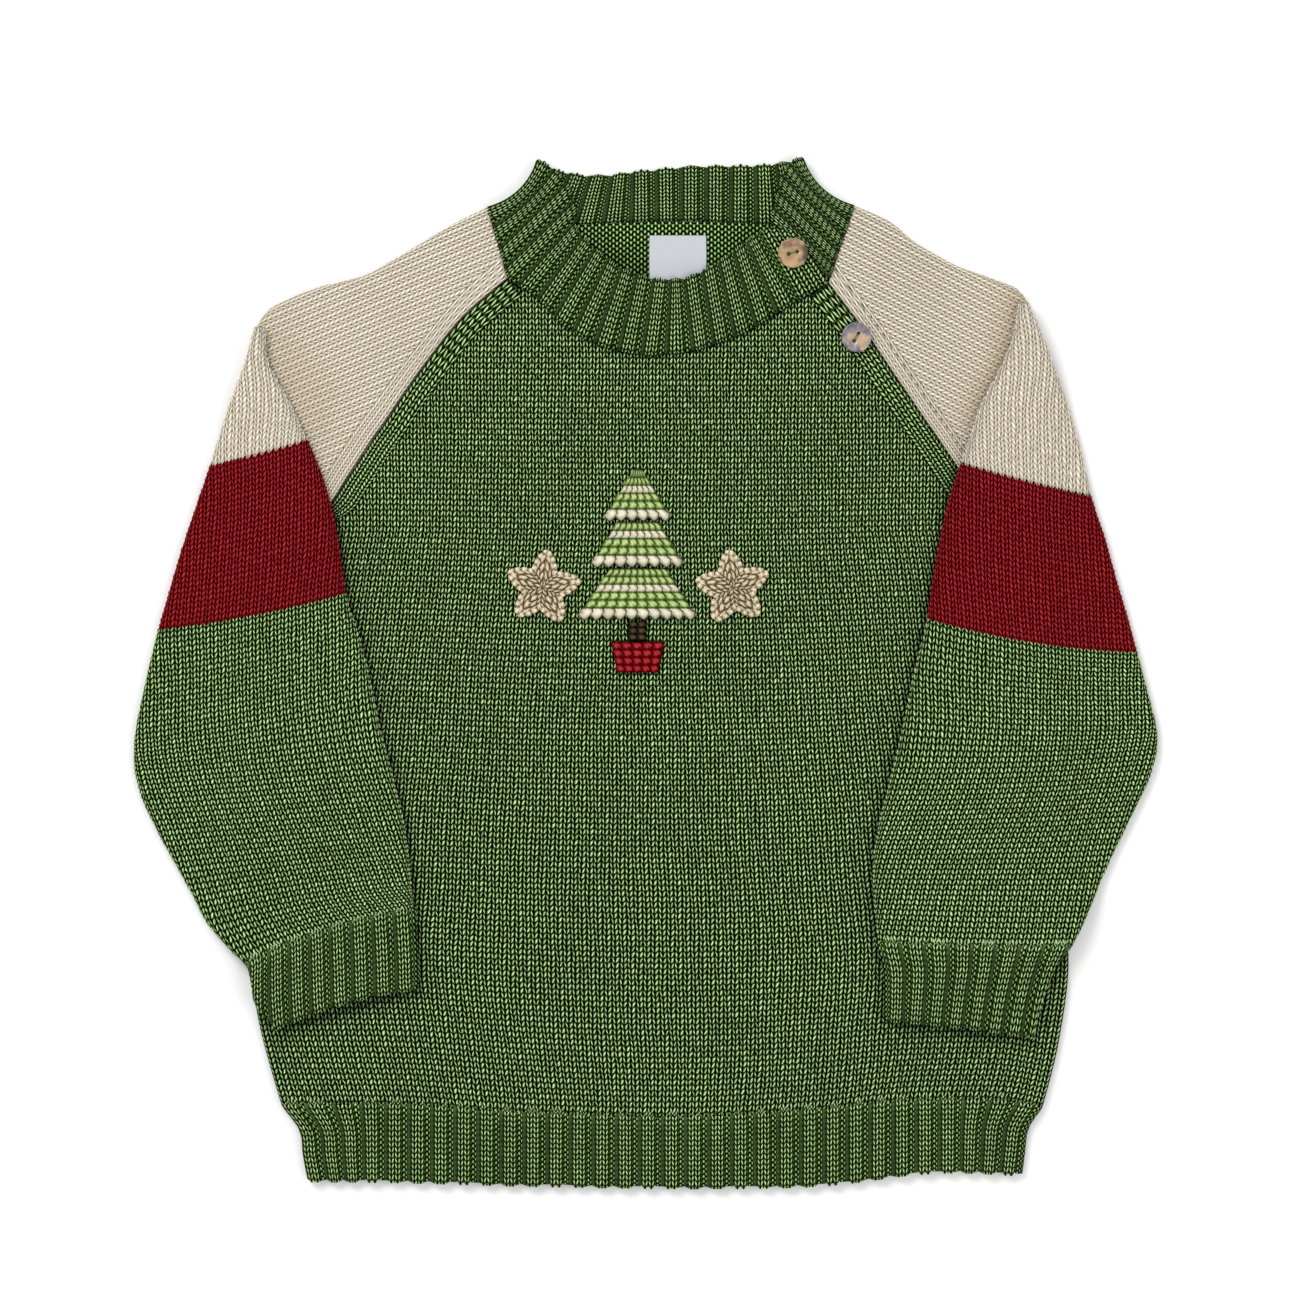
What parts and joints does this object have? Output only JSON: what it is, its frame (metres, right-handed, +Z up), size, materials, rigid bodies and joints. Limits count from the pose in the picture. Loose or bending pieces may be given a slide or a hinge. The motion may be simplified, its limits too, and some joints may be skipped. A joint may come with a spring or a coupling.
{
  "type": "sweater",
  "caption": "Toddler's knitted raglan pullover laid flat, with both sleeves turned in over the front, a button flap at the neck and a crocheted fir tree between stars.",
  "frame": {"origin": "under the middle of the laid-out garment, on the surface it lies on", "axes": "+Z up from the surface through the back and the front, +Y towards the collar, +X towards the wearer's left"},
  "size_m": [0.3996, 0.401, 0.0117],
  "materials": {
    "green_knit": "heathered green wool, stockinette and two-by-two rib",
    "cream_knit": "natural cream wool, stockinette",
    "red_knit": "deep red wool, stockinette",
    "leaf_crochet": "light green crocheted wool",
    "tan_crochet": "tan crocheted wool",
    "red_crochet": "deep red crocheted wool",
    "brown_crochet": "dark brown crocheted wool",
    "coconut_button": "brown coconut shell, satin",
    "shell_button": "grey-brown shell, polished",
    "label": "white woven ribbon, blank"
  },
  "bodies": {
    "root": {"back": "green_knit", "front": "green_knit", "hem_back": "green_knit", "hem_front": "green_knit", "collar_back": "green_knit", "collar_front": "green_knit", "collar_left_shoulder": "green_knit", "right_cap": "cream_knit", "left_cap": "cream_knit", "right_upper_sleeve": "cream_knit", "left_upper_sleeve": "cream_knit", "right_stripe": "red_knit", "left_stripe": "red_knit", "right_lower_sleeve": "green_knit", "left_lower_sleeve": "green_knit", "right_cuff": "green_knit", "left_cuff": "green_knit", "collar_button": "coconut_button", "raglan_button": "shell_button", "neck_label": "label", "tree_top": "leaf_crochet", "tree_middle": "leaf_crochet", "tree_bottom": "leaf_crochet", "tree_trunk": "brown_crochet", "tree_pot": "red_crochet", "star_left": "tan_crochet", "star_right": "tan_crochet"}
  },
  "joints": []
}
